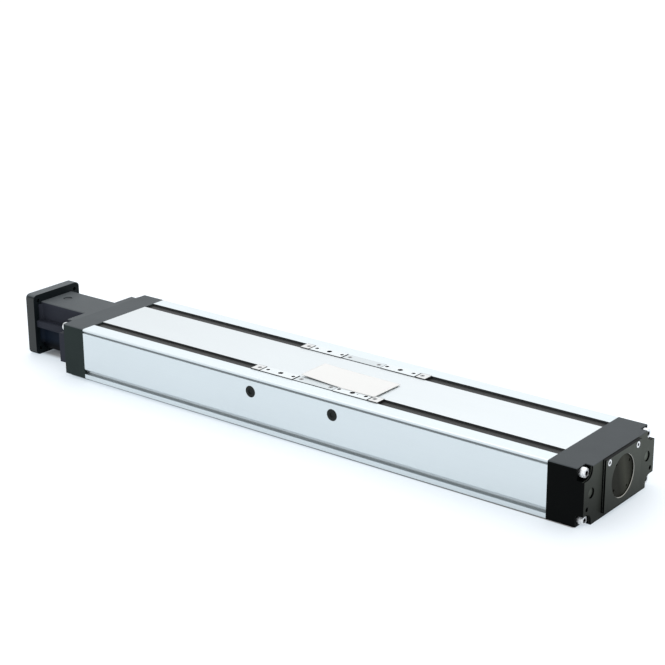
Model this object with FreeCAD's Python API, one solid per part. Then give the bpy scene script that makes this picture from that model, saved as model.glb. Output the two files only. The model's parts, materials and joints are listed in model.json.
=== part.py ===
import FreeCAD, Part
import math
import os

# Ball screw linear module. Millimetres. X runs along the module, from the motor end (-X) to the idle end,
# Y runs across it and Z points up. The origin is under the middle of the profile, on its base.

V = FreeCAD.Vector

# Main profile: an extruded channel with lips that leave a slot on each side of the top cover
profile_length = 664.0
profile_width = 145.0
profile_height = 65.0
profile_wall = 9.0
profile_floor = 8.0
lip_thickness = 5.0
top_edge_radius = 1.5
base_edge_radius = 1.5
edge_line_drop = 5.2
edge_line_height = 2.0
edge_line_depth = 1.2
edge_line_roll = 1.2
clamp_ledge_height = 6.3
clamp_groove_height = 4.5
clamp_groove_depth = 4.5
clamp_groove_roll = 2.8
slot_inset = 27.5
slot_width = 15.0

# Drive axis height above the base, and the rest position of the carriage from the middle
axis_height = 35.0
carriage_rest = 13.0

# Top cover extrusion with a screw channel on each side
cover_thickness = 3.5
cover_edge_width = 2.0
cover_edge_radius = 0.4
cover_screw_inset = 8.0
cover_screw_drop = 5.5
cover_screw_size = 4.0
cover_screw_grip = 12.0
cover_channel_wall = 2.0
cover_channel_radius = 1.0

# End blocks; their outer plates leave the corners free for the heads of the block screws
block_length = 34.0
outer_plate_thickness = 9.0
block_edge_chamfer = 0.8
notch_width = 16.0
notch_height = 13.5
notch_radius = 9.5
corner_screw_size = 6.0
corner_screw_inset = 8.5
corner_screw_drop = 6.5
corner_screw_grip = 18.0
corner_boss_wall = 2.5
mark_inset = 14.5
mark_height = 35.5
mark_radius = 5.8
mark_depth = 2.2
side_hole_inset = 6.8
side_hole_height = 20.0
side_hole_size = 6.0
side_hole_depth = 12.0

# End plate and bearing cap on the idle block
plate_inset = 0.5
plate_thickness = 4.0
plate_bottom = 5.5
plate_top_drop = 0.5
plate_corner_radius = 1.0
cap_bore_radius = 23.0
cap_bore_chamfer = 0.8
cap_thickness = 6.0
cap_recess = 2.0
cap_hole_count = 4
cap_hole_circle = 19.5
cap_hole_radius = 1.7
cap_hole_depth = 4.0
cap_hole_turn = 37.0

# Sealing strips
strip_thickness = 1.2
strip_drop = 2.2
strip_seat = 6.0
strip_bend_radius = 6.0
strip_ramp_length = 8.0

# Guide rails and runner blocks
rail_width = 20.0
rail_height = 17.0
rail_waist = 2.0
rail_foot_height = 4.0
rail_head_height = 6.0
rail_bevel = 2.5
rail_end_gap = 2.0
rail_screw_size = 5.0
rail_screw_spacing = 80.0
rail_screw_grip = 5.5
rail_screw_sink = 6.0
rail_screw_margin = 8.0
runner_height = 28.0
runner_lift = 4.5
runner_length = 40.0
runner_cap_length = 8.0
runner_cap_inset = 0.6
runner_end_margin = 1.0
runner_corner_radius = 2.0
runner_screw_size = 5.0
runner_screw_along = 12.0
runner_screw_edge = 6.3
runner_screw_grip = 8.0
runner_screw_sink = 5.4

# Carriage: a plate on the runner blocks, a housing for the nut and two mounting bars through the slots
carriage_length = 152.0
carriage_plate_drop = 15.0
carriage_corner_radius = 2.0
bar_proud = 1.0
bar_edge_radius = 0.4
foot_width = 23.0
foot_edge_radius = 1.0
tunnel_height = 2.2
tunnel_roof_drop = 8.2
tongue_length = 7.0
tongue_top_drop = 4.3
nut_housing_wall = 3.5
nut_housing_bottom = 14.0
nut_housing_shoulder = 2.0
nut_seat = 40.0
main_hole_pitch = 103.0
main_thread_size = 8.0
main_hole_depth = 8.0
side_thread_step = 18.6
side_thread_size = 6.0
side_thread_depth = 7.0
grease_hole_step = 7.2
grease_hole_radius = 1.0
grease_hole_depth = 5.0
inset_length = 55.0
inset_recess = 2.5
inset_thickness = 2.0
inset_gap = 1.4
inset_side_step = 0.7
inset_screw_pitch = 42.0
small_screw_size = 3.0
small_screw_length = 6.0
deflector_length = 14.5
deflector_gap = 1.4
deflector_nose = 2.3
deflector_edge_radius = 0.8
deflector_screw_from_bar = 6.5
deflector_screw_length = 8.0

# Ball screw, ball nut and their bearings
screw_radius = 10.0
nut_radius = 16.5
nut_length = 48.0
nut_flange_radius = 23.5
nut_flange_thickness = 10.0
nut_screw_size = 4.0
nut_screw_circle = 20.0
nut_screw_turn = 60.0
nut_screw_grip = 12.0
passage_radius = 14.0
fixed_bearing_radius = 21.0
fixed_bearing_width = 22.0
fixed_journal_radius = 7.5
fixed_race_radius = 12.5
retainer_thickness = 4.0
retainer_bore_radius = 14.5
lock_nut_radius = 13.0
lock_nut_width = 9.0
floating_bearing_radius = 16.0
floating_bearing_width = 10.0
floating_journal_radius = 6.0
floating_race_radius = 10.5
floating_seat_depth = 20.0
floating_play = 2.0
clip_width = 1.1
clip_outer_radius = 8.0
clip_groove_depth = 0.6
journal_tail = 3.0

# Motor mount: an outer plate on the drive block, a bell housing and the motor flange
mount_length = 103.0
housing_half_width = 28.0
flange_rise = 10.0
flange_overhang = 5.0
housing_top_radius = 3.0
housing_low_radius = 10.0
flange_cove = 6.0
plate_cove = 8.0
rib_half_width = 37.0
rib_half_height = 4.8
rib_lift = 1.8
rib_edge_radius = 2.0
flange_side = 80.0
flange_thickness = 14.0
flange_corner = 6.0
pilot_radius = 35.0
pilot_depth = 5.0
motor_bolt_circle = 90.0
motor_thread_size = 6.0
mount_bore_radius = 22.0
mount_screw_size = 6.0
mount_screw_grip = 14.0
mount_screw_inset = 26.5
mount_screw_up = 18.0
access_offset = 2.5
access_radius = 6.0
access_plug_depth = 4.0
access_plug_sunk = 1.2

# Jaw coupling inside the motor mount
coupling_radius = 20.0
coupling_start = 21.0
hub_length = 25.0
jaw_length = 11.5
jaw_gap = 0.5
jaw_count = 3
jaw_angle = 50.0
spider_lobe_angle = 9.0
spider_ring_radius = 11.0
spider_bore_radius = 8.0
drive_journal_radius = 6.0
motor_shaft_radius = 9.5
set_screw_size = 6.0
set_screw_sunk = 1.0

# Lubrication ports and end buffers
port_pitch = 118.0
port_shift = -2.0
port_height = 46.5
port_radius = 7.0
plug_length = 7.0
plug_dimple_radius = 3.0
plug_dimple_depth = 0.8
buffer_radius = 6.0
buffer_length = 15.0
buffer_height = 43.0

# Shape of the screws, as shares of the thread size
head_share = 1.5
head_extra = 1.0
core_share = 0.42
socket_share = 0.82
socket_depth_share = 0.55
sunk_head_share = 0.9
sunk_socket_share = 0.66
sunk_socket_depth_share = 0.5
set_socket_share = 0.5

# Clearances
slide_gap = 0.3
running_gap = 0.05
seat_gap = 0.02
thread_gap = 0.05
head_gap = 0.5
side_gap = 1.0
foot_gap = 1.0
cover_gap = 3.5
overrun = 1.0

# Places worked out from the sizes above
half_length = profile_length / 2
half_width = profile_width / 2
inner_half = half_width - profile_wall
top = profile_height
axis = axis_height
slot_offset = half_width - slot_inset
slot_inner = slot_offset - slot_width / 2
slot_outer = slot_offset + slot_width / 2
cover_screw_offset = slot_inner - cover_screw_inset
plate_half_width = slot_inner - plate_inset
mark_offset = half_width - mark_inset
side_hole_offset = half_width - side_hole_inset
mount_screw_across = half_width - mount_screw_inset
corner_screw_y = half_width - corner_screw_inset
corner_boss = corner_screw_size / 2 + corner_boss_wall
cover_screw_z = top - cover_screw_drop
block_face = half_length + block_length
idle_face = block_face + outer_plate_thickness
plate_face = idle_face + plate_thickness
mount_face = -(block_face + outer_plate_thickness)
rail_top = profile_floor + rail_height
runner_top = profile_floor + runner_height
runner_outer = inner_half - side_gap
nut_housing_half = nut_radius + nut_housing_wall
runner_inner = nut_housing_half + side_gap / 2
rail_offset = (runner_outer + runner_inner) / 2
runner_half_width = (runner_outer - runner_inner) / 2
runner_screw_across = runner_half_width - runner_screw_edge
runner_spacing = carriage_length - runner_length - 2 * runner_cap_length - 2 * runner_end_margin
carriage_half = carriage_length / 2
carriage_plate_top = top - carriage_plate_drop
bar_top = top + bar_proud
bar_half_width = slot_width / 2 - slide_gap
foot_top = top - lip_thickness - foot_gap
tunnel_roof = top - tunnel_roof_drop
tongue_top = top - tongue_top_drop
strip_level = top - strip_drop - strip_thickness / 2
tunnel_level = tunnel_roof - tunnel_height / 2
housing_top = top - cover_thickness - cover_gap
nut_seat_x = carriage_rest + nut_seat
motor_face = -(block_face + mount_length)
flange_back = motor_face + flange_thickness
housing_rise = flange_side / 2 - flange_rise
housing_depth = flange_side / 2 - flange_overhang
screw_hub_start = -(block_face + coupling_start)
screw_hub_end = screw_hub_start - hub_length
jaw_zone = jaw_length + jaw_gap
motor_hub_start = screw_hub_end - jaw_zone
motor_hub_end = motor_hub_start - hub_length
access_x = (motor_hub_start + motor_hub_end) / 2
fixed_bearing_out = -(block_face - retainer_thickness)
fixed_bearing_in = fixed_bearing_out + fixed_bearing_width
cap_seat = plate_face - cap_recess - cap_thickness
floating_seat_in = cap_seat - floating_seat_depth
floating_bearing_in = floating_seat_in + floating_play
floating_bearing_out = floating_bearing_in + floating_bearing_width


def outline(corners, place):
    """Face of a closed outline given as (u, v, corner radius), put into space by place(u, v)."""
    stops = []
    count = len(corners)
    for index in range(count):
        u, v, radius = corners[index]
        corner = V(u, v, 0)
        before = V(*corners[index - 1][:2], 0) - corner
        after = V(*corners[(index + 1) % count][:2], 0) - corner
        if radius == 0:
            stops.append((corner, None, corner))
            continue
        half = before.getAngle(after) / 2
        reach = radius / math.tan(half)
        bisector = (before.normalize() + after.normalize()).normalize()
        middle = corner + bisector * (radius / math.sin(half) - radius)
        stops.append((corner + before * reach, middle, corner + after * reach))
    edges = []
    for index in range(count):
        enter, middle, leave = (None if p is None else place(p.x, p.y) for p in stops[index])
        following = stops[(index + 1) % count][0]
        target = place(following.x, following.y)
        if middle is not None:
            edges.append(Part.Arc(enter, middle, leave).toShape())
        if leave.distanceToPoint(target) > 1e-6:
            edges.append(Part.LineSegment(leave, target).toShape())
    return Part.Face(Part.Wire(edges))


def along_x(corners, x0, x1):
    """Solid of a (y, z, radius) outline between two X positions."""
    return outline(corners, lambda y, z: V(x0, y, z)).extrude(V(x1 - x0, 0, 0))


def along_y(corners, y0, y1):
    """Solid of an (x, z, radius) outline between two Y positions."""
    return outline(corners, lambda x, z: V(x, y0, z)).extrude(V(0, y1 - y0, 0))


def box(x0, x1, y0, y1, z0, z1):
    low = V(min(x0, x1), min(y0, y1), min(z0, z1))
    return Part.makeBox(abs(x1 - x0), abs(y1 - y0), abs(z1 - z0), low)


def rod(x0, x1, radius, y=0.0, z=axis):
    """Round bar along X."""
    return Part.makeCylinder(radius, abs(x1 - x0), V(min(x0, x1), y, z), V(1, 0, 0))


def ring(x0, x1, outer, inner):
    return rod(x0, x1, outer).cut(rod(x0 - overrun, x1 + overrun, inner))


def post(z0, z1, radius, x, y):
    """Round bar along Z."""
    return Part.makeCylinder(radius, z1 - z0, V(x, y, z0), V(0, 0, 1))


def mirrored(half_outline):
    """Outline across Y from its +Y half, listed from the bottom upwards and back down inside."""
    return half_outline + [(-y, z, radius) for y, z, radius in reversed(half_outline)]


def bar_outline(half_y, low, high, low_radius, high_radius):
    """Upright rectangle between two heights with its own radius at the lower and upper corners."""
    return mirrored([(half_y, low, low_radius), (half_y, high, high_radius)])


def head_radius(size):
    return (head_share * size + head_extra) / 2


def thread_core(size):
    """Radius of the drilled hole for a metric thread."""
    return core_share * size


def turned(shape, seat, out):
    """Moves a shape made along +Z from the origin to its seat, with +Z along out."""
    shape.Placement = FreeCAD.Placement(seat, FreeCAD.Rotation(V(0, 0, 1), out))
    return shape


def hexagon(across_flats, depth, z0):
    corner_radius = across_flats / math.sqrt(3)
    points = []
    for k in range(7):
        angle = math.radians(60 * k)
        points.append(V(corner_radius * math.cos(angle), corner_radius * math.sin(angle), z0))
    return Part.Face(Part.makePolygon(points)).extrude(V(0, 0, depth))


def cap_screw(size, length, seat, out, socket=True):
    """Socket head screw: its head stands on seat and points along out."""
    head = Part.makeCylinder(head_radius(size), size)
    shank = Part.makeCylinder(size / 2, length, V(0, 0, -length))
    screw = head.fuse(shank).removeSplitter()
    if socket:
        depth = socket_depth_share * size
        screw = screw.cut(hexagon(socket_share * size, depth + overrun, size - depth))
    return turned(screw, seat, out)


def cap_screw_hole(size, length, sink, seat, out):
    """Room for a cap screw whose head is sunk by sink under the face that it enters."""
    shank = Part.makeCylinder(size / 2 + thread_gap, length + overrun, V(0, 0, -length - overrun))
    if sink == 0:
        shank = Part.makeCylinder(size / 2 + thread_gap, length + 2 * overrun, V(0, 0, -length - overrun))
        return turned(shank, seat, out)
    pocket = Part.makeCylinder(head_radius(size) + head_gap, sink + overrun)
    return turned(shank.fuse(pocket), seat, out)


def flush_screw(size, length, top_point, gap=0.0):
    """Countersunk screw pointing down, its head flush at top_point; gap widens it into its hole."""
    wide = size * sunk_head_share + gap
    narrow = size / 2 + gap
    head = Part.makeCone(narrow, wide, wide - narrow, V(0, 0, narrow - wide))
    shank = Part.makeCylinder(narrow, length + gap, V(0, 0, -length - gap))
    screw = head.fuse(shank).removeSplitter()
    if gap == 0:
        depth = sunk_socket_depth_share * size
        screw = screw.cut(hexagon(sunk_socket_share * size, depth + overrun, -depth))
    screw.Placement = FreeCAD.Placement(top_point, FreeCAD.Rotation())
    return screw


def group(shapes):
    return Part.makeCompound(shapes)


def both_sides():
    return (-1, 1)


def corner_points():
    """Screw axes of the end blocks: (y, z) near the four corners of the profile."""
    heights = (corner_screw_drop, top - corner_screw_drop)
    return [(side * corner_screw_y, z) for side in both_sides() for z in heights]


def rail_screw_places():
    """X positions of the guide rail screws, spaced evenly from the middle."""
    reach = half_length - rail_end_gap - head_radius(rail_screw_size) - rail_screw_margin
    steps = int((reach - rail_screw_spacing / 2) / rail_screw_spacing) + 1
    return [side * (k + 0.5) * rail_screw_spacing for side in both_sides() for k in range(steps)]


def runner_places():
    """Centres (x, y) of the four runner blocks with their names."""
    places = {}
    for row, side in (("front", -1), ("rear", 1)):
        for end, way in (("left", -1), ("right", 1)):
            x = carriage_rest + way * runner_spacing / 2
            places["runner_block_%s_%s" % (row, end)] = (x, side * rail_offset)
    return places


def runner_screw_places():
    return [(x + a * runner_screw_along, y + b * runner_screw_across)
            for x, y in runner_places().values() for a in both_sides() for b in both_sides()]


def nut_screw_places():
    """Axes (y, z) of the screws in the nut flange."""
    across = nut_screw_circle * math.cos(math.radians(nut_screw_turn))
    up = nut_screw_circle * math.sin(math.radians(nut_screw_turn))
    return [(a * across, axis + b * up) for a in both_sides() for b in both_sides()]


def port_places():
    return [(side, port_shift + end * port_pitch / 2) for side in both_sides() for end in both_sides()]


def mount_screw_places():
    return [(a * mount_screw_across, axis + b * mount_screw_up) for a in both_sides() for b in both_sides()]


def make_profile_body():
    groove_top = clamp_ledge_height + clamp_groove_height
    groove_floor = half_width - clamp_groove_depth
    line_low = top - edge_line_drop
    line_high = line_low + edge_line_height
    boss_y = corner_screw_y - corner_boss
    boss_low = top - corner_screw_drop - corner_boss
    boss_high = corner_screw_drop + corner_boss - overrun
    half = [
        (half_width, 0, base_edge_radius),
        (half_width, clamp_ledge_height, 0),
        (groove_floor, clamp_ledge_height, 0),
        (groove_floor, groove_top, 0),
        (half_width, groove_top, clamp_groove_roll),
        (half_width, line_low, 0),
        (half_width - edge_line_depth, line_low, 0),
        (half_width - edge_line_depth, line_high, 0),
        (half_width, line_high, edge_line_roll),
        (half_width, top, top_edge_radius),
        (slot_outer, top, 0),
        (slot_outer, top - lip_thickness, 0),
        (boss_y, top - lip_thickness, 0),
        (boss_y, boss_low, 0),
        (inner_half, boss_low, 0),
        (inner_half, boss_high, 0),
        (boss_y, boss_high, 0),
        (boss_y, profile_floor, 0),
    ]
    body = along_x(mirrored(half), -half_length, half_length)
    cuts = []
    for y, z in corner_points():
        radius = corner_screw_size / 2 + thread_gap
        cuts.append(rod(-half_length - overrun, -half_length + corner_screw_grip, radius, y, z))
        cuts.append(rod(half_length - corner_screw_grip, half_length + overrun, radius, y, z))
    for x in rail_screw_places():
        for side in both_sides():
            radius = rail_screw_size / 2 + thread_gap
            low = profile_floor - rail_screw_grip
            cuts.append(post(low, profile_floor + overrun, radius, x, side * rail_offset))
    for side, x in port_places():
        start = V(x, side * (inner_half - overrun), port_height)
        cuts.append(Part.makeCylinder(port_radius, profile_wall + 2 * overrun, start, V(0, side, 0)))
    return body.cut(cuts)


def make_top_cover():
    channel_half = cover_screw_size / 2 + cover_channel_wall
    under = top - cover_thickness
    edge = slot_inner - cover_edge_width
    half = [
        (cover_screw_offset - channel_half, under, 0),
        (cover_screw_offset - channel_half, cover_screw_z - channel_half, cover_channel_radius),
        (cover_screw_offset + channel_half, cover_screw_z - channel_half, cover_channel_radius),
        (cover_screw_offset + channel_half, under, 0),
        (edge, under, 0),
        (edge, top - lip_thickness, 0),
        (slot_inner, top - lip_thickness, 0),
        (slot_inner, top, cover_edge_radius),
    ]
    cover = along_x(mirrored(half), -half_length, half_length)
    cuts = []
    for side in both_sides():
        radius = cover_screw_size / 2 + thread_gap
        y = side * cover_screw_offset
        cuts.append(rod(-half_length - overrun, -half_length + cover_screw_grip, radius, y, cover_screw_z))
        cuts.append(rod(half_length - cover_screw_grip, half_length + overrun, radius, y, cover_screw_z))
    return cover.cut(cuts)


def strip_route():
    """Middle line (x, z) of a sealing strip: level in its slot, dipping through the carriage tunnel."""
    dip_in = carriage_half + tongue_length + overrun
    dip_out = dip_in + strip_ramp_length
    end = half_length + strip_seat
    return [
        (-end, strip_level),
        (carriage_rest - dip_out, strip_level),
        (carriage_rest - dip_in, tunnel_level),
        (carriage_rest + dip_in, tunnel_level),
        (carriage_rest + dip_out, strip_level),
        (end, strip_level),
    ]


def beside(route, distance):
    """Route moved sideways by distance (up for a route that runs along +X)."""
    moved = []
    for index, (x, z) in enumerate(route):
        here = V(x, z, 0)
        into = here - V(*route[index - 1], 0) if index else V(*route[1], 0) - here
        out = V(*route[index + 1], 0) - here if index + 1 < len(route) else into
        into = V(into).normalize()
        out = V(out).normalize()
        normal = V(-into.y - out.y, into.x + out.x, 0).normalize()
        stretch = distance / normal.dot(V(-into.y, into.x, 0))
        moved.append((x + normal.x * stretch, z + normal.y * stretch))
    return moved


def make_sealing_strip(side):
    route = strip_route()
    half = strip_thickness / 2
    upper = beside(route, half)
    lower = beside(route, -half)
    turns = [0, -1, 1, 1, -1, 0]
    corners = []
    for (x, z), turn in zip(upper, turns):
        corners.append((x, z, abs(turn) * (strip_bend_radius - turn * half)))
    for (x, z), turn in reversed(list(zip(lower, turns))):
        corners.append((x, z, abs(turn) * (strip_bend_radius + turn * half)))
    middle = side * slot_offset
    return along_y(corners, middle - bar_half_width, middle + bar_half_width)


def make_guide_rail(side):
    half = rail_width / 2
    neck_low = profile_floor + rail_foot_height
    neck_high = rail_top - rail_head_height
    right = [
        (half, profile_floor, 0),
        (half, neck_low, 0),
        (half - rail_waist, neck_low + rail_waist, 0),
        (half - rail_waist, neck_high - rail_waist, 0),
        (half, neck_high, 0),
        (half, rail_top - rail_bevel, 0),
        (half - rail_bevel, rail_top, 0),
    ]
    middle = side * rail_offset
    section = [(middle + y, z, radius) for y, z, radius in mirrored(right)]
    rail = along_x(section, -half_length + rail_end_gap, half_length - rail_end_gap)
    seat = rail_top - rail_screw_sink
    holes = [cap_screw_hole(rail_screw_size, rail_height, rail_screw_sink, V(x, middle, seat), V(0, 0, 1))
             for x in rail_screw_places()]
    return rail.cut(holes)


def make_rail_screws():
    seat = rail_top - rail_screw_sink
    length = seat - profile_floor + rail_screw_grip
    return group([cap_screw(rail_screw_size, length, V(x, side * rail_offset, seat), V(0, 0, 1), socket=False)
                  for side in both_sides() for x in rail_screw_places()])


def runner_section(y, inset):
    """Saddle section around a guide rail centred on y."""
    low = profile_floor + runner_lift + inset
    gap = rail_width / 2 + slide_gap
    roof = rail_top + slide_gap
    outer = runner_half_width - inset
    high = runner_top - inset
    corners = [
        (outer, low, 0),
        (outer, high, runner_corner_radius),
        (-outer, high, runner_corner_radius),
        (-outer, low, 0),
        (-gap, low, 0),
        (-gap, roof, 0),
        (gap, roof, 0),
        (gap, low, 0),
    ]
    return [(y + u, z, radius) for u, z, radius in corners]


def make_runner_block(x, y):
    block = along_x(runner_section(y, 0.0), x - runner_length / 2, x + runner_length / 2)
    radius = runner_screw_size / 2 + thread_gap
    holes = [post(runner_top - runner_screw_grip, runner_top + overrun, radius, px, py)
             for px, py in runner_screw_places()]
    return block.cut(holes)


def make_runner_end_caps():
    caps = []
    for x, y in runner_places().values():
        section = runner_section(y, runner_cap_inset)
        caps.append(along_x(section, x + runner_length / 2, x + runner_length / 2 + runner_cap_length))
        caps.append(along_x(section, x - runner_length / 2 - runner_cap_length, x - runner_length / 2))
    return group(caps)


def make_runner_screws():
    seat = carriage_plate_top - runner_screw_sink
    length = seat - runner_top + runner_screw_grip
    return group([cap_screw(runner_screw_size, length, V(x, y, seat), V(0, 0, 1), socket=False)
                  for x, y in runner_screw_places()])


def bar_hole_places():
    """X offsets of the threaded holes in a mounting bar: main holes, then the smaller ones beside them."""
    main = [side * main_hole_pitch / 2 for side in both_sides()]
    small = [x + side * side_thread_step for x in main for side in both_sides()]
    return main, small


def make_carriage():
    foot_in = slot_offset - foot_width / 2
    foot_out = slot_offset + foot_width / 2
    bar_in = slot_offset - bar_half_width
    bar_out = slot_offset + bar_half_width
    housing = nut_housing_half + nut_housing_shoulder
    half = [
        (nut_housing_half, nut_housing_bottom, carriage_corner_radius),
        (nut_housing_half, runner_top, 0),
        (inner_half - side_gap - running_gap, runner_top, 0),
        (inner_half - side_gap - running_gap, carriage_plate_top, carriage_corner_radius),
        (foot_out, carriage_plate_top, 0),
        (foot_out, foot_top, foot_edge_radius),
        (bar_out, foot_top, 0),
        (bar_out, bar_top, bar_edge_radius),
        (bar_in, bar_top, bar_edge_radius),
        (bar_in, foot_top, 0),
        (foot_in, foot_top, foot_edge_radius),
        (foot_in, carriage_plate_top, 0),
        (housing, carriage_plate_top, 0),
        (housing, housing_top, carriage_corner_radius),
    ]
    low = carriage_rest - carriage_half
    high = carriage_rest + carriage_half
    body = along_x(mirrored(half), low, high)
    tongues = []
    cuts = []
    main, small = bar_hole_places()
    for side in both_sides():
        y = side * slot_offset
        for start, stop in ((low - tongue_length, low), (high, high + tongue_length)):
            tongues.append(box(start, stop, y - bar_half_width, y + bar_half_width, tunnel_roof, tongue_top))
        tunnel_half = slot_width / 2 + slide_gap
        floor = tunnel_roof - tunnel_height
        cuts.append(box(low - overrun, high + overrun, y - tunnel_half, y + tunnel_half, floor, tunnel_roof))
        inset_half = inset_length / 2 + inset_gap
        cuts.append(box(carriage_rest - inset_half, carriage_rest + inset_half,
                        y - slot_width, y + slot_width, bar_top - inset_recess, bar_top + overrun))
        for x in main:
            radius = thread_core(main_thread_size)
            cuts.append(post(bar_top - main_hole_depth, bar_top + overrun, radius, carriage_rest + x, y))
        for x in small:
            radius = thread_core(side_thread_size)
            cuts.append(post(bar_top - side_thread_depth, bar_top + overrun, radius, carriage_rest + x, y))
    grease_x = carriage_rest + main_hole_pitch / 2 + grease_hole_step
    cuts.append(post(bar_top - grease_hole_depth, bar_top + overrun, grease_hole_radius,
                     grease_x, -slot_offset))
    cuts.append(box(nut_seat_x, high + overrun, -housing - overrun, housing + overrun, 0, top))
    cuts.append(rod(nut_seat_x - nut_length - overrun, nut_seat_x + overrun, nut_radius + seat_gap))
    cuts.append(rod(low - overrun, nut_seat_x, passage_radius))
    for y, z in nut_screw_places():
        radius = nut_screw_size / 2 + thread_gap
        cuts.append(rod(nut_seat_x - nut_screw_grip, nut_seat_x + overrun, radius, y, z))
    seat = carriage_plate_top - runner_screw_sink
    for x, y in runner_screw_places():
        cuts.append(cap_screw_hole(runner_screw_size, seat - runner_top, foot_top - seat,
                                   V(x, y, seat), V(0, 0, 1)))
    body = body.fuse(tongues).removeSplitter().cut(cuts)
    return body.cut(small_screw_tools(thread_gap))


def small_screw_tools(gap):
    """Countersunk screws of the inset plates and deflectors, widened by gap into their holes."""
    return inset_screw_list(gap) + deflector_screw_list(gap)


def inset_screw_list(gap=0.0):
    level = bar_top - inset_recess + inset_thickness
    return [flush_screw(small_screw_size, small_screw_length,
                        V(carriage_rest + end * inset_screw_pitch / 2, side * slot_offset, level), gap)
            for side in both_sides() for end in both_sides()]


def deflector_screw_list(gap=0.0):
    reach = carriage_half + deflector_screw_from_bar
    return [flush_screw(small_screw_size, deflector_screw_length,
                        V(carriage_rest + end * reach, side * slot_offset, bar_top), gap)
            for side in both_sides() for end in both_sides()]


def make_inset_plates():
    plates = []
    low = bar_top - inset_recess
    half = bar_half_width - inset_side_step
    for side in both_sides():
        y = side * slot_offset
        plates.append(box(carriage_rest - inset_length / 2, carriage_rest + inset_length / 2,
                          y - half, y + half, low, low + inset_thickness))
    return group([plate.cut(inset_screw_list(thread_gap)) for plate in plates])


def make_strip_deflectors():
    """Blocks on the bar ends that lead the strips down: flat on the tongue, with a bevelled nose."""
    blocks = []
    nose_under = strip_level + strip_thickness / 2 + thread_gap
    for side in both_sides():
        for end in both_sides():
            start = carriage_half + deflector_gap
            stop = carriage_half + deflector_length
            corners = [
                (carriage_rest + end * start, tongue_top, 0),
                (carriage_rest + end * (stop - deflector_nose), tongue_top, 0),
                (carriage_rest + end * stop, nose_under, 0),
                (carriage_rest + end * stop, bar_top, deflector_edge_radius),
                (carriage_rest + end * start, bar_top, 0),
            ]
            y = side * slot_offset
            blocks.append(along_y(corners, y - bar_half_width, y + bar_half_width))
    return group([block.cut(deflector_screw_list(thread_gap)) for block in blocks])


def make_ball_nut():
    body = rod(nut_seat_x - nut_length, nut_seat_x, nut_radius)
    flange = rod(nut_seat_x, nut_seat_x + nut_flange_thickness, nut_flange_radius)
    flange = flange.common(box(nut_seat_x, nut_seat_x + nut_flange_thickness,
                               -nut_housing_half, nut_housing_half, nut_housing_bottom, housing_top))
    nut = body.fuse(flange).removeSplitter()
    cuts = [rod(nut_seat_x - nut_length - overrun, nut_seat_x + nut_flange_thickness + overrun,
                screw_radius + running_gap)]
    for y, z in nut_screw_places():
        cuts.append(rod(nut_seat_x - overrun, nut_seat_x + nut_flange_thickness + overrun,
                        nut_screw_size / 2 + thread_gap, y, z))
    return nut.cut(cuts)


def make_nut_screws():
    seat = nut_seat_x + nut_flange_thickness
    length = nut_flange_thickness + nut_screw_grip - thread_gap
    return group([cap_screw(nut_screw_size, length, V(seat, y, z), V(1, 0, 0), socket=False)
                  for y, z in nut_screw_places()])


def make_ball_screw():
    """Shaft from the coupling journal to the idle journal, stepped down at both bearings."""
    lock_end = fixed_bearing_out - lock_nut_width
    clip_end = floating_bearing_out + clip_width
    shaft = [
        rod(screw_hub_end + overrun, lock_end, drive_journal_radius),
        rod(lock_end, fixed_bearing_in, fixed_journal_radius),
        rod(fixed_bearing_in, floating_bearing_in, screw_radius),
        rod(floating_bearing_in, floating_bearing_out, floating_journal_radius),
        rod(floating_bearing_out, clip_end, floating_journal_radius - clip_groove_depth),
        rod(clip_end, clip_end + journal_tail, floating_journal_radius),
    ]
    return shaft[0].fuse(shaft[1:])


def plate_outline():
    """Outer plate of an end: the whole section with its four corners left free."""
    wall = half_width - notch_width
    return mirrored([
        (wall, 0, 0),
        (wall, notch_height, notch_radius),
        (half_width, notch_height, block_edge_chamfer),
        (half_width, top - notch_height, block_edge_chamfer),
        (wall, top - notch_height, notch_radius),
        (wall, top, 0),
    ])


def make_end_block(side):
    """Block at the drive end (side -1) or the idle end (side 1), without its bearing bores."""
    inner = side * half_length
    outer = side * block_face
    block = box(inner, outer, -half_width, half_width, 0, top)
    long_edges = [edge for edge in block.Edges if abs(edge.tangentAt(edge.FirstParameter).x) > 0.5]
    block = block.makeChamfer(block_edge_chamfer, long_edges)
    cuts = []
    past = side * overrun
    for flank in both_sides():
        y = flank * cover_screw_offset
        radius = cover_screw_size / 2 + thread_gap
        cuts.append(rod(inner - past, side * idle_face + past, radius, y, cover_screw_z))
        pocket_low = strip_level - strip_thickness / 2 - thread_gap
        pocket_high = strip_level + strip_thickness / 2 + thread_gap
        slot = flank * slot_offset
        cuts.append(box(inner - past, side * (half_length + strip_seat),
                        slot - slot_width / 2, slot + slot_width / 2, pocket_low, pocket_high))
    for y, z in corner_points():
        cuts.append(rod(inner - past, outer + past, corner_screw_size / 2 + thread_gap, y, z))
    return block, cuts


def make_drive_end_block():
    block, cuts = make_end_block(-1)
    cuts.append(rod(-block_face - overrun, fixed_bearing_in, fixed_bearing_radius))
    cuts.append(rod(-block_face, -half_length + overrun, passage_radius))
    for side in both_sides():
        pocket = head_radius(cover_screw_size) + head_gap
        cuts.append(rod(-block_face - overrun, -block_face + cover_screw_size + head_gap, pocket,
                        side * cover_screw_offset, cover_screw_z))
    for y, z in mount_screw_places():
        radius = mount_screw_size / 2 + thread_gap
        cuts.append(rod(-block_face - overrun, -block_face + mount_screw_grip, radius, y, z))
    return block.cut(cuts)


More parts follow.
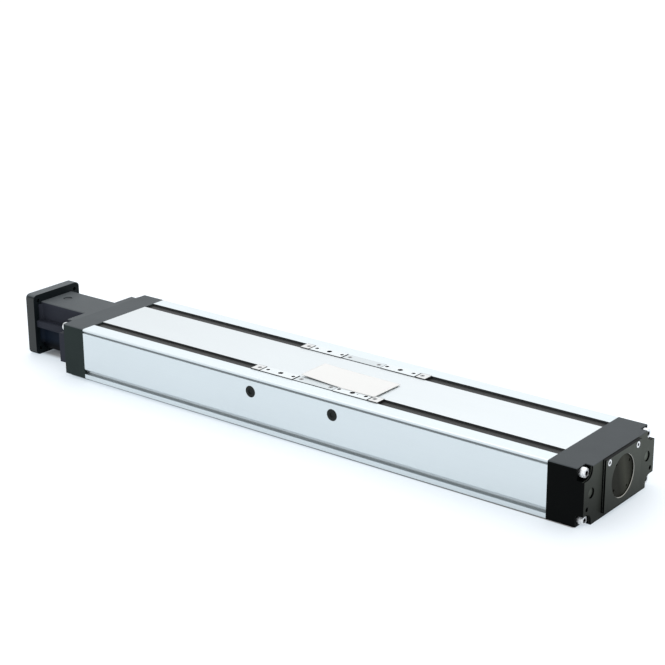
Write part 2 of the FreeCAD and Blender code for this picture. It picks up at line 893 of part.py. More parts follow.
def make_idle_end_block():
    """Idle block in one piece with its outer plate, which is marked and drilled beside the end plate."""
    block, cuts = make_end_block(1)
    block = block.fuse(along_x(plate_outline(), block_face, idle_face))
    cuts.append(rod(cap_seat, idle_face + overrun, cap_bore_radius))
    cuts.append(rod(floating_seat_in, cap_seat + overrun, floating_bearing_radius))
    cuts.append(rod(half_length - overrun, floating_seat_in + overrun, passage_radius))
    for flank in both_sides():
        cuts.append(rod(idle_face - mark_depth, idle_face + overrun, mark_radius,
                        flank * mark_offset, mark_height))
        cuts.append(rod(idle_face - side_hole_depth, idle_face + overrun, thread_core(side_hole_size),
                        flank * side_hole_offset, side_hole_height))
    return block.cut(cuts)


def make_corner_screws():
    screws = []
    length = block_length + corner_screw_grip - overrun
    for side in both_sides():
        seat = side * block_face
        for y, z in corner_points():
            screws.append(cap_screw(corner_screw_size, length, V(seat, y, z), V(side, 0, 0)))
    return group(screws)


def make_cover_screws():
    screws = []
    for side in both_sides():
        y = side * cover_screw_offset
        drive_seat = -block_face + cover_screw_size + head_gap
        drive_length = -half_length - drive_seat + cover_screw_grip - overrun
        screws.append(cap_screw(cover_screw_size, drive_length, V(drive_seat, y, cover_screw_z), V(-1, 0, 0)))
        idle_length = idle_face - half_length + cover_screw_grip - overrun
        screws.append(cap_screw(cover_screw_size, idle_length, V(idle_face, y, cover_screw_z), V(1, 0, 0)))
    return group(screws)


def make_end_plate():
    high = top - plate_top_drop
    corners = bar_outline(plate_half_width, plate_bottom, high, plate_corner_radius, plate_corner_radius)
    plate = along_x(corners, idle_face, plate_face)
    cuts = [
        rod(idle_face - overrun, plate_face + overrun, cap_bore_radius),
        Part.makeCone(cap_bore_radius, cap_bore_radius + cap_bore_chamfer, cap_bore_chamfer,
                      V(plate_face - cap_bore_chamfer, 0, axis), V(1, 0, 0)),
    ]
    for side in both_sides():
        cuts.append(rod(idle_face - overrun, plate_face + overrun, head_radius(cover_screw_size) + head_gap,
                        side * cover_screw_offset, cover_screw_z))
    return plate.cut(cuts)


def make_bearing_cap():
    face = cap_seat + cap_thickness
    cap = rod(cap_seat, face, cap_bore_radius - running_gap)
    holes = []
    for k in range(cap_hole_count):
        angle = math.radians(cap_hole_turn + 360 * k / cap_hole_count)
        holes.append(rod(face - cap_hole_depth, face + overrun, cap_hole_radius,
                         cap_hole_circle * math.cos(angle), axis + cap_hole_circle * math.sin(angle)))
    return cap.cut(holes)


def make_fixed_bearing_outer():
    return ring(fixed_bearing_out, fixed_bearing_in, fixed_bearing_radius - seat_gap,
                fixed_race_radius + running_gap)


def make_fixed_bearing_inner():
    return ring(fixed_bearing_out, fixed_bearing_in, fixed_race_radius, fixed_journal_radius + seat_gap)


def make_bearing_retainer():
    return ring(-block_face, fixed_bearing_out, fixed_bearing_radius - seat_gap, retainer_bore_radius)


def make_shaft_lock_nut():
    return ring(fixed_bearing_out - lock_nut_width, fixed_bearing_out, lock_nut_radius,
                fixed_journal_radius + seat_gap)


def make_floating_bearing_outer():
    return ring(floating_bearing_in, floating_bearing_out, floating_bearing_radius - seat_gap,
                floating_race_radius + running_gap)


def make_floating_bearing_inner():
    return ring(floating_bearing_in, floating_bearing_out, floating_race_radius,
                floating_journal_radius + seat_gap)


def make_shaft_clip():
    return ring(floating_bearing_out, floating_bearing_out + clip_width, clip_outer_radius,
                floating_journal_radius - clip_groove_depth + seat_gap)


def side_cove(x, way, side, reach):
    """Hollow fillet between a plate face at x and one side wall of the bell housing."""
    wall = side * housing_half_width
    low = axis - housing_depth + housing_low_radius
    high = axis + housing_rise - housing_top_radius
    block = box(x, x + way * reach, wall, wall + side * reach, low, high)
    hollow = Part.makeCylinder(reach, high - low, V(x + way * reach, wall + side * reach, low), V(0, 0, 1))
    return block.cut(hollow)


def low_cove():
    """Hollow fillet under the housing, against the motor flange."""
    low = axis - housing_depth
    reach = flange_overhang
    half = housing_half_width - housing_low_radius
    block = box(flange_back, flange_back + reach, -half, half, low - reach, low)
    hollow = Part.makeCylinder(reach, 2 * half, V(flange_back + reach, -half, low - reach), V(0, 1, 0))
    return block.cut(hollow)


def make_motor_mount():
    """Outer plate, ribbed bell housing and motor flange in one casting, coved where the walls meet."""
    plate = along_x(plate_outline(), mount_face, -block_face)
    housing = along_x(bar_outline(housing_half_width, axis - housing_depth, axis + housing_rise,
                                  housing_low_radius, housing_top_radius), flange_back, mount_face)
    rib_middle = axis + rib_lift
    rib = along_x(bar_outline(rib_half_width, rib_middle - rib_half_height, rib_middle + rib_half_height,
                              rib_edge_radius, rib_edge_radius), flange_back, mount_face)
    half = flange_side / 2
    square = bar_outline(half, axis - half, axis + half, flange_corner, flange_corner)
    flange = along_x(square, motor_face, flange_back)
    coves = [low_cove()]
    for side in both_sides():
        coves.append(side_cove(flange_back, 1, side, flange_cove))
        coves.append(side_cove(mount_face, -1, side, plate_cove))
    mount = flange.fuse([housing, rib, plate] + coves).removeSplitter()
    cuts = [
        rod(motor_face - overrun, -block_face + overrun, mount_bore_radius),
        rod(motor_face - overrun, motor_face + pilot_depth, pilot_radius),
        post(axis, axis + housing_rise + overrun, access_radius, access_x, access_offset),
    ]
    bolt = motor_bolt_circle / 2 / math.sqrt(2)
    for a in both_sides():
        for b in both_sides():
            cuts.append(rod(motor_face - overrun, flange_back + overrun, thread_core(motor_thread_size),
                            a * bolt, axis + b * bolt))
    for y, z in mount_screw_places():
        cuts.append(rod(mount_face - overrun, -block_face + overrun, mount_screw_size / 2 + thread_gap, y, z))
    return mount.cut(cuts)


def make_mount_screws():
    length = outer_plate_thickness + mount_screw_grip - overrun
    return group([cap_screw(mount_screw_size, length, V(mount_face, y, z), V(-1, 0, 0))
                  for y, z in mount_screw_places()])


def make_access_plug():
    high = axis + housing_rise - access_plug_sunk
    return post(high - access_plug_depth, high, access_radius - running_gap, access_x, access_offset)


def sector(x0, x1, outer, inner, middle_angle, width):
    """Part of a ring about the drive axis, width degrees wide about middle_angle."""
    wedge = Part.makeCylinder(outer, x1 - x0, V(x0, 0, axis), V(1, 0, 0), width)
    wedge.rotate(V(0, 0, axis), V(1, 0, 0), middle_angle - width / 2)
    return wedge.cut(rod(x0 - overrun, x1 + overrun, inner))


def make_hub(body_start, body_end, jaw_start, jaw_end, bore, first_jaw):
    """Coupling hub with jaws and a radial hole for its set screw."""
    pitch = 360.0 / jaw_count
    hub = rod(body_start, body_end, coupling_radius)
    jaws = [sector(jaw_start, jaw_end, coupling_radius, spider_ring_radius + slide_gap,
                   first_jaw + k * pitch, jaw_angle) for k in range(jaw_count)]
    middle = (body_start + body_end) / 2
    cuts = [
        rod(body_start - overrun, body_end + overrun, bore),
        post(axis, axis + coupling_radius + overrun, set_screw_size / 2 + thread_gap, middle, 0.0),
    ]
    return hub.fuse(jaws).removeSplitter().cut(cuts)


def make_screw_hub():
    return make_hub(screw_hub_end, screw_hub_start, screw_hub_end - jaw_length, screw_hub_end,
                    drive_journal_radius + seat_gap, 0.0)


def make_motor_hub():
    return make_hub(motor_hub_end, motor_hub_start, motor_hub_start, motor_hub_start + jaw_length,
                    motor_shaft_radius, 180.0 / jaw_count)


def make_coupling_spider():
    low = motor_hub_start
    high = screw_hub_end
    pitch = 180.0 / jaw_count
    core = ring(low, high, spider_ring_radius, spider_bore_radius)
    lobes = [sector(low, high, coupling_radius, spider_bore_radius, pitch * (k + 0.5), spider_lobe_angle)
             for k in range(2 * jaw_count)]
    return core.fuse(lobes).removeSplitter()


def make_set_screws():
    """Headless screws that stop short of the bores, with the hexagon at their outer end."""
    screws = []
    high = axis + coupling_radius - set_screw_sunk
    places = (((screw_hub_start + screw_hub_end) / 2, drive_journal_radius), (access_x, motor_shaft_radius))
    for x, bore in places:
        screw = post(axis + bore + slide_gap, high, set_screw_size / 2, x, 0.0)
        depth = set_socket_share * set_screw_size
        socket = hexagon(depth, depth + overrun, high - depth)
        socket.translate(V(x, 0, 0))
        screws.append(screw.cut(socket))
    return group(screws)


def make_port_plugs():
    plugs = []
    for side, x in port_places():
        face = V(x, side * half_width, port_height)
        inward = V(0, -side, 0)
        plug = Part.makeCylinder(port_radius - running_gap, plug_length, face, inward)
        dimple = Part.makeCylinder(plug_dimple_radius, plug_dimple_depth, face, inward)
        plugs.append(plug.cut(dimple))
    return group(plugs)


def make_end_buffers():
    buffers = []
    for side in both_sides():
        for flank in both_sides():
            base = V(side * half_length, flank * rail_offset, buffer_height)
            buffers.append(Part.makeCylinder(buffer_radius, buffer_length, base, V(-side, 0, 0)))
    return group(buffers)


def build():
    parts = {
        "profile_body": make_profile_body(),
        "top_cover": make_top_cover(),
        "sealing_strip_front": make_sealing_strip(-1),
        "sealing_strip_rear": make_sealing_strip(1),
        "guide_rail_front": make_guide_rail(-1),
        "guide_rail_rear": make_guide_rail(1),
        "guide_rail_screws": make_rail_screws(),
        "runner_end_caps": make_runner_end_caps(),
        "runner_screws": make_runner_screws(),
        "carriage": make_carriage(),
        "inset_plates": make_inset_plates(),
        "inset_screws": group(inset_screw_list()),
        "strip_deflectors": make_strip_deflectors(),
        "deflector_screws": group(deflector_screw_list()),
        "ball_nut": make_ball_nut(),
        "nut_screws": make_nut_screws(),
        "ball_screw": make_ball_screw(),
        "drive_end_block": make_drive_end_block(),
        "idle_end_block": make_idle_end_block(),
        "end_block_screws": make_corner_screws(),
        "cover_screws": make_cover_screws(),
        "end_plate": make_end_plate(),
        "bearing_cap": make_bearing_cap(),
        "fixed_bearing_outer_ring": make_fixed_bearing_outer(),
        "fixed_bearing_inner_ring": make_fixed_bearing_inner(),
        "bearing_retainer": make_bearing_retainer(),
        "shaft_lock_nut": make_shaft_lock_nut(),
        "floating_bearing_outer_ring": make_floating_bearing_outer(),
        "floating_bearing_inner_ring": make_floating_bearing_inner(),
        "shaft_clip": make_shaft_clip(),
        "motor_mount": make_motor_mount(),
        "motor_mount_screws": make_mount_screws(),
        "coupling_access_plug": make_access_plug(),
        "coupling_hub_screw": make_screw_hub(),
        "coupling_hub_motor": make_motor_hub(),
        "coupling_spider": make_coupling_spider(),
        "coupling_set_screws": make_set_screws(),
        "port_plugs": make_port_plugs(),
        "end_buffers": make_end_buffers(),
    }
    for name, (x, y) in runner_places().items():
        parts[name] = make_runner_block(x, y)
    return parts


def main():
    os.makedirs("parts", exist_ok=True)
    for name, shape in build().items():
        shape.exportStep("parts/%s.step" % name)
        print(name, len(shape.Solids), "solids", round(shape.Volume, 1), "mm3", shape.isValid())


main()
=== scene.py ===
"""Dresses the ball screw linear module: metal finishes, sealing strips, a paper label and the studio."""
import json
import math

import bpy
from mathutils import Matrix, Vector


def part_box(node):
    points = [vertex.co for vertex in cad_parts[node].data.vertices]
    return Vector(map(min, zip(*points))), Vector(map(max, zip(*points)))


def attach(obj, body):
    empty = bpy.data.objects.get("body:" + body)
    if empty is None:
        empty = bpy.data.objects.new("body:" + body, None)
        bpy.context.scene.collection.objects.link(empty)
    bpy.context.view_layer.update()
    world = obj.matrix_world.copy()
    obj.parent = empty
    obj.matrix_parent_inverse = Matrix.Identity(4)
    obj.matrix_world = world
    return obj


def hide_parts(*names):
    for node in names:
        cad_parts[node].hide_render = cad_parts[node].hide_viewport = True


bl_info = {
    "name": "Linear module dressing",
    "version": (1, 0, 0),
    "blender": (4, 5, 0),
    "location": "View3D > Sidebar > Module",
    "description": "Finishes, strips, label and studio for a ball screw linear module",
    "category": "Object",
}

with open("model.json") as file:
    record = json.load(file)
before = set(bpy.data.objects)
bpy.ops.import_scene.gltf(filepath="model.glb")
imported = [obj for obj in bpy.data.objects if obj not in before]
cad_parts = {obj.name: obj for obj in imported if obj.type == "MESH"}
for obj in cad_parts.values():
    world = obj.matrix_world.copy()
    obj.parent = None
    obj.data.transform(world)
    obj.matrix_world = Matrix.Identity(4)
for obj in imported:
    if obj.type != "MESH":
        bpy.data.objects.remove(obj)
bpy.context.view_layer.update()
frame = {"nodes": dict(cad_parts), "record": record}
NODES = frame["nodes"]
MOUNTS = {mount["name"]: mount for mount in frame["record"]["mounts"]}
MM = 0.001
CRISP = 0.05 * MM  # half width of a sharp step between two tones
JUST_UNDER = 0.1 * MM  # how far under a face its own tone begins
TOP_LIGHT_BAND = 0.9 * MM  # how far under the top of the cover the painted top light of the black ends begins
FLANGE_THICKNESS = 14.0 * MM
SLOT_SHADE = 0.83  # strength of the painted shade on the slot walls


class Value:
    """One socket of a node tree; arithmetic on it adds Math nodes to the tree."""

    def __init__(self, graph, socket):
        self.graph = graph
        self.socket = socket

    def maths(self, operation, first, second=0.0):
        return self.graph.node("ShaderNodeMath", {"operation": operation}, {0: first, 1: second})

    def __add__(self, other):
        return self.maths("ADD", self, other)

    __radd__ = __add__

    def __sub__(self, other):
        return self.maths("SUBTRACT", self, other)

    def __rsub__(self, other):
        return self.maths("SUBTRACT", other, self)

    def __mul__(self, other):
        return self.maths("MULTIPLY", self, other)

    __rmul__ = __mul__

    def __truediv__(self, other):
        return self.maths("DIVIDE", self, other)

    def __rtruediv__(self, other):
        return self.maths("DIVIDE", other, self)

    def __pow__(self, other):
        return self.maths("POWER", self, other)

    def __abs__(self):
        return self.maths("ABSOLUTE", self)

    def above(self, level, soft=CRISP):
        """1 where the value is over level, 0 where it is under it, with a soft step between."""
        return self.graph.node("ShaderNodeMapRange", {"clamp": True}, {
            "Value": self, "From Min": level - soft, "From Max": level + soft, "To Min": 0.0, "To Max": 1.0})

    def below(self, level, soft=CRISP):
        return 1 - self.above(level, soft)


class Graph:
    """A node tree that is filled through one method."""

    def __init__(self, tree):
        self.tree = tree

    def feed(self, socket, value):
        if isinstance(value, Value):
            self.tree.links.new(value.socket, socket)
        else:
            socket.default_value = value

    def node(self, kind, settings=None, values=None, output=0):
        made = self.tree.nodes.new(kind)
        for key, value in (settings or {}).items():
            setattr(made, key, value)
        for key, value in (values or {}).items():
            self.feed(made.inputs[key], value)
        return Value(self, made.outputs[output])


class Finish(Graph):
    """A material built on the principled shader; patterns read Object coordinates in metres."""

    def __init__(self, name, **constants):
        self.material = bpy.data.materials.new(name)
        self.material.use_nodes = True
        super().__init__(self.material.node_tree)
        self.shader = self.tree.nodes["Principled BSDF"]
        self.place = self.node("ShaderNodeTexCoord", output="Object")
        for key, value in constants.items():
            self.set(key.replace("_", " ").title(), value)

    def set(self, socket, value):
        self.feed(self.shader.inputs[socket.replace("Ior", "IOR")], value)

    def axes(self):
        return [self.node("ShaderNodeSeparateXYZ", values={"Vector": self.place}, output=k) for k in range(3)]

    def noise(self, scale, detail=2.0):
        """Noise from 0 to 1 with a separate scale along X, Y and Z, in features per metre."""
        spot = self.node("ShaderNodeMapping", {"vector_type": "POINT"},
                         {"Vector": self.place, "Scale": scale})
        return self.node("ShaderNodeTexNoise", values={"Vector": spot, "Scale": 1.0, "Detail": detail})

    def blend(self, factor, first, second):
        return self.node("ShaderNodeMix", {"data_type": "RGBA"}, {0: factor, 6: first, 7: second}, output=2)

    def relief(self, height, strength, distance=0.2 * MM):
        self.set("Normal", self.node("ShaderNodeBump", values={
            "Height": height, "Strength": strength, "Distance": distance}))


def shade(colour, factor):
    return (colour[0] * factor, colour[1] * factor, colour[2] * factor, 1.0)


def colour_property(name, description, default):
    return bpy.props.FloatVectorProperty(name=name, description=description, subtype="COLOR", size=3,
                                         min=0.0, max=1.0, default=default)


def length_property(name, description, default):
    return bpy.props.FloatProperty(name=name, description=description, subtype="DISTANCE", unit="LENGTH",
                                   default=default)


class FinishSettings(bpy.types.PropertyGroup):
    clear: colour_property("Clear anodised", "Profile body", (0.605, 0.657, 0.678))
    cover: colour_property("Cover", "Top cover", (0.591, 0.624, 0.637))
    bare: colour_property("Bare aluminium", "Coupling hubs and hole rims", (0.86, 0.87, 0.88))
    bars: colour_property("Mounting bars", "Top of the mounting bars", (0.612, 0.645, 0.655))
    inset: colour_property("Inset plates", "Plates in the middle of the bars", (0.508, 0.545, 0.558))
    deflector: colour_property("Deflectors", "Strip deflectors at the bar ends", (0.585, 0.590, 0.585))
    black: colour_property("Black anodised", "Idle end block", (0.0014, 0.0018, 0.0018))
    face: colour_property("Milled face", "Outer face of the idle end", (0.042, 0.046, 0.040))
    drive: colour_property("Drive block", "End block at the motor end", (0.019, 0.026, 0.025))
    mount: colour_property("Motor mount", "Bell housing at the motor end", (0.019, 0.021, 0.029))
    rim: colour_property("Bore rim", "Bare chamfer of the bore in the end plate", (0.267, 0.261, 0.237))
    cap: colour_property("Bearing cap", "Recessed cap in the end plate", (0.020, 0.0205, 0.0160))
    steel: colour_property("Steel", "Rails, runner blocks, screw and bearings", (0.56, 0.57, 0.58))
    zinc: colour_property("Zinc", "Socket head screws", (0.72, 0.73, 0.74))
    strip: colour_property("Strip", "Sealing strips", (0.019, 0.0192, 0.0188))
    plastic: colour_property("Plastic", "Runner caps and end buffers", (0.016, 0.018, 0.017))
    # painted light on the upper faces of the black ends
    top_light: colour_property("Painted top light", "Upper faces of the black ends", (0.075, 0.083, 0.088))
    grey: colour_property("Grey screws", "Small flush screws of the bars", (0.22, 0.22, 0.22))
    plug: colour_property("Plugs", "Lubrication port plugs", (0.006, 0.008, 0.007))
    # painted highlight on the sides of the motor flange
    flange_rim_highlight: colour_property("Flange rim", "Sides of the motor flange", (0.042, 0.045, 0.045))
    flange_back: colour_property("Flange back", "Inner face of the motor flange", (0.005, 0.0075, 0.009))
    # painted shade on the bell housing below its ribs
    under: colour_property("Lower panels", "Bell housing below its ribs", (0.004, 0.008, 0.016))
    elastomer: colour_property("Elastomer", "Coupling spider", (0.40, 0.05, 0.04))


class StripSettings(bpy.types.PropertyGroup):
    thickness: length_property("Thickness", "Strip thickness", 1.2 * MM)
    drop: length_property("Drop", "Strip top under the cover top", 2.2 * MM)
    camber: length_property("Camber", "Height of the middle of the strip over its edges", 0.25 * MM)


class LabelSettings(bpy.types.PropertyGroup):
    length: length_property("Length", "Paper length along the module", 107.5 * MM)
    width: length_property("Width", "Paper width across the module", 49.2 * MM)
    centre_x: length_property("Centre X", "Middle of the paper along the module", 38.5 * MM)
    centre_y: length_property("Centre Y", "Middle of the paper across the module", -17.0 * MM)
    turn: bpy.props.FloatProperty(name="Turn", description="Turn of the paper on the cover", subtype="ANGLE",
                                  default=math.radians(-0.4))
    far_lift: length_property("Far lift", "Height of the curled far corner", 0.9 * MM)
    near_lift: length_property("Near lift", "Height of the curled near corner", 1.1 * MM)
    skew: length_property("Skew", "Slant of the curled end", 4.0 * MM)
    thickness: length_property("Thickness", "Paper thickness", 0.15 * MM)
    paper: colour_property("Paper", "Colour of the blank paper", (0.603, 0.598, 0.585))


class RimSettings(bpy.types.PropertyGroup):
    size: length_property("Size", "Thickness of the bright rim round a threaded hole", 0.15 * MM)


class KnurlSettings(bpy.types.PropertyGroup):
    head_radius: length_property("Head radius", "Radius of a corner screw's head", 5.0 * MM)
    head_height: length_property("Head height", "Height of a corner screw's head", 6.0 * MM)
    ridge: length_property("Ridge", "Radius of one ridge of the knurl", 0.26 * MM)
    count: bpy.props.IntProperty(name="Count", description="Ridges round a head", default=40, min=3)


class ScrewSettings(bpy.types.PropertyGroup):
    lead: length_property("Lead", "Travel of the carriage in one turn", 20.0 * MM)
    depth: length_property("Depth", "Depth of the ball groove", 1.5 * MM)
    width: length_property("Half width", "Half width of the ball groove along the screw", 3.6 * MM)
    drive_journal: length_property("Drive journal", "Radius in the coupling", 6.0 * MM)
    fixed_journal: length_property("Fixed journal", "Radius in the fixed bearing", 7.5 * MM)
    idle_journal: length_property("Idle journal", "Radius in the floating bearing", 6.0 * MM)
    clip_groove: length_property("Clip groove", "Radius at the bottom of the clip groove", 5.4 * MM)


class StageSettings(bpy.types.PropertyGroup):
    floor: colour_property("Floor", "Colour of the studio floor", (0.36, 0.345, 0.335))
    glow: colour_property("Glow", "Light through the pale floor", (0.54, 0.61, 0.67))
    sky: colour_property("Sky", "Colour of the studio walls", (0.97, 0.985, 1.0))
    sky_strength: bpy.props.FloatProperty(name="Sky strength", description="Light from all round",
                                          default=1.32)
    top_power: bpy.props.FloatProperty(name="Top power", description="Power of the ceiling softbox",
                                       subtype="POWER", default=20.0)
    lens: bpy.props.FloatProperty(name="Lens", description="Focal length on a 36 mm sensor", default=92.83)
    camera: bpy.props.FloatVectorProperty(name="Camera", description="Place of the camera",
                                          subtype="TRANSLATION", size=3,
                                          default=(1.14087, -1.44502, 0.75414))
    azimuth: bpy.props.FloatProperty(name="Azimuth", description="Camera azimuth from -Y", subtype="ANGLE",
                                     default=math.radians(38.2513))
    elevation: bpy.props.FloatProperty(name="Elevation", description="Camera elevation", subtype="ANGLE",
                                       default=math.radians(19.2727))
    roll: bpy.props.FloatProperty(name="Roll", description="Camera roll", subtype="ANGLE",
                                  default=math.radians(-0.4282))


def piece_from(name, vertices, faces, material, body):
    """New piece in the CAD frame that moves with a body."""
    mesh = bpy.data.meshes.new(name)
    mesh.from_pydata(vertices, [], faces)
    mesh.validate()
    mesh.materials.append(material)
    piece = bpy.data.objects.new(name, mesh)
    bpy.context.scene.collection.objects.link(piece)
    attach(piece, body)
    return piece


def dress(material, *names):
    for name in names:
        slots = NODES[name].data.materials
        slots.clear()
        slots.append(material)


def extruded_finish(name, colour, dark=None, light_ramp=0.0):
    """Satin anodised extrusion with faint drawing lines along X; dark picks where shade is painted (slot
    walls, fine lines, grooves), and the last argument paints light that rises along X."""
    finish = Finish(name, metallic=0.85)
    lines = finish.noise((3.0, 900.0, 900.0))
    cloud = finish.noise((9.0, 25.0, 25.0), 3.0)
    x, y, z = finish.axes()
    # painted light rising along X, set by the last argument
    tone = finish.blend(0.3 * lines + 0.3 * cloud + 0.2 + light_ramp * x, shade(colour, 0.93), shade(colour, 1.06))
    # painted shade: where dark is 1 the tone falls to near black
    if dark:
        tone = finish.blend(dark(x, y, z), tone, shade(colour, 0.01))
    finish.set("Base Color", tone)
    finish.set("Roughness", 0.30 + 0.10 * lines)
    finish.relief(lines, 0.06)
    return finish.material


def cover_shade(x, y, z):
    """Painted shade on the two slot walls of the cover."""
    return SLOT_SHADE * abs(y).above(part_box("top_cover")[1].y - JUST_UNDER)


def profile_shade(x, y, z):
    """Painted shade on the slot walls of the lips, along the fine line under the top edges and in the
    clamping groove.
    """
    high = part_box("profile_body")[1]
    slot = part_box("sealing_strip_rear")[1].y
    wall = abs(y).below(slot + 0.45 * MM) * z.above(high.z - 10 * MM, MM)
    sunk = abs(y).below(high.y - JUST_UNDER) * abs(y).above(high.y - 6 * MM, 0.1 * MM)
    line_level = high.z - 4.2 * MM
    groove_level = 6.8 * MM
    line = abs(z - line_level).below(0.95 * MM)
    groove = abs(z - groove_level).below(1.2 * MM, 0.9 * MM)
    return SLOT_SHADE * wall + sunk * (0.72 * line + 0.45 * groove)


def milled_finish(name, colour, metallic, rough, spread=0.12):
    """Milled metal: cutter marks across the part and a slow cloudy change of tone."""
    finish = Finish(name, metallic=metallic)
    marks = finish.noise((700.0, 60.0, 700.0))
    cloud = finish.noise((30.0, 30.0, 30.0), 3.0)
    grain = 0.6 * cloud + 0.4 * marks
    finish.set("Base Color", finish.blend(grain, shade(colour, 1 - spread), shade(colour, 1 + spread)))
    finish.set("Roughness", rough + 0.12 * marks)
    finish.relief(marks, 0.08)
    return finish.material


def bar_finish(name, colour, node, seams=None):
    """Milled bars whose holes, flanks and seams fall off into shade just under the top face of a node."""
    finish = Finish(name, metallic=0.7)
    x, y, z = finish.axes()
    marks = finish.noise((700.0, 60.0, 700.0))
    depth = z.below(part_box(node)[1].z - 0.2 * MM, 0.1 * MM)
    # the seams get the same painted shade as holes and flanks
    if seams:
        depth = depth + 0.6 * seams(x, y)
    tone = finish.blend(marks, shade(colour, 0.95), shade(colour, 1.05))
    finish.set("Base Color", finish.blend(depth, tone, shade(colour, 0.06)))
    finish.set("Roughness", 0.30 + 0.12 * marks)
    finish.relief(marks, 0.08)
    return finish.material


def deflector_seam_shade(x, y):
    """Painted shade in the seams round the deflectors: at the end of the bar and along both flanks."""
    low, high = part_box("strip_deflectors")
    strip_low, strip_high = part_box("sealing_strip_rear")
    lane = (strip_low.y + strip_high.y) / 2
    bar_end = (high.x - low.x) / 2 - 12.3 * MM
    flank = high.y - lane - 0.7 * MM
    joint = abs(x - (low.x + high.x) / 2).below(bar_end, 0.2 * MM)
    return joint + abs(abs(y) - lane).above(flank, 0.2 * MM)


def screw_finish(name, colour, node, head, socket):
    """Zinc plated socket screws along X, with the key socket in shade and a soft turned sheen."""
    finish = Finish(name, metallic=0.9)
    x, y, z = finish.axes()
    low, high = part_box(node)
    middle = (low.z + high.z) / 2
    aside = abs(y) - (high.y - head)
    along = abs(abs(z - middle) - ((high.z - low.z) / 2 - head))
    reach = (aside * aside + along * along) ** 0.5
    sunk = x.above(low.x + 0.2 * MM) * x.below(high.x - 0.2 * MM)
    hole = reach.below(socket, 0.1 * MM) * sunk
    cloud = finish.noise((200.0, 200.0, 200.0), 3.0)
    tone = finish.blend(cloud, shade(colour, 0.90), shade(colour, 1.08))
    finish.set("Base Color", finish.blend(hole, tone, shade(colour, 0.12)))
    finish.set("Roughness", 0.24 + 0.10 * cloud)
    return finish.material


def moulded_finish(name, colour, rough):
    """Plastic or rubber with a fine moulded grain."""
    finish = Finish(name, specular_ior_level=0.15)
    grain = finish.noise((1500.0, 1500.0, 1500.0))
    cloud = finish.noise((60.0, 60.0, 60.0), 3.0)
    finish.set("Base Color", finish.blend(cloud, shade(colour, 0.8), shade(colour, 1.3)))
    finish.set("Roughness", rough + 0.1 * grain)
    finish.relief(grain, 0.15)
    return finish.material


def round_cap(y, z):
    """Height over the axis of the bearing cap and distance from it."""
    low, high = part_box("bearing_cap")
    across = z - (low.z + high.z) / 2
    return across, (y * y + across * across) ** 0.5


def bore_rim(x, y, z):
    """The chamfer of the bore in the end plate."""
    low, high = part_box("bearing_cap")
    bore = (high.y - low.y) / 2
    chamfer = 0.65 * MM
    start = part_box("end_plate")[1].x - 0.9 * MM
    return round_cap(y, z)[1].below(bore + chamfer) * x.above(start)


def black_finish(name, colour, rough, top_light, face=None, face_from=0.0, rim=None):
    """Matte black coating with painted light on the top faces; the outer face beyond face_from is milled,
    with painted light that rises up the face and towards +Y and stronger painted light on the floors of the
    sunk marks, and a bore rim is left bare."""
    finish = Finish(name, specular_ior_level=0.03)
    x, y, z = finish.axes()
    marks = finish.noise((700.0, 60.0, 700.0))
    cloud = finish.noise((30.0, 30.0, 30.0), 3.0)
    grain = 0.6 * cloud + 0.4 * marks
    tone = finish.blend(grain, shade(colour, 0.85), shade(colour, 1.2))
    if face:
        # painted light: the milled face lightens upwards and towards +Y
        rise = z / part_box("top_cover")[1].z
        light = 0.85 * rise + 0.15 * grain + 0.08 + 5.0 * y
        flank = abs(y).below(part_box("idle_end_block")[1].y - JUST_UNDER)
        milled = finish.blend(light, shade(face, 0.35), shade(face, 1.40))
        tone = finish.blend(flank * x.above(face_from), tone, milled)
        # painted light on the floors of the sunk marks, paler than the face
        mark_depth = 2.1 * MM
        sunk = abs(x - (face_from - mark_depth)).below(0.15 * MM)
        tone = finish.blend(flank * sunk, tone, finish.blend(light, shade(face, 0.9), shade(face, 3.0)))
    # painted light on the top faces
    lit_top = z.above(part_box("top_cover")[1].z - TOP_LIGHT_BAND)
    tone = finish.blend(lit_top, tone, finish.blend(grain, shade(top_light, 0.85), shade(top_light, 1.15)))
    finish.set("Roughness", rough + 0.12 * marks)
    if rim:
        ring = bore_rim(x, y, z)
        tone = finish.blend(ring, tone, shade(rim, 1.0))
        finish.set("Metallic", ring)
        finish.set("Roughness", rough - 0.2 * ring)
    finish.set("Base Color", tone)
    finish.relief(marks, 0.08)
    return finish.material


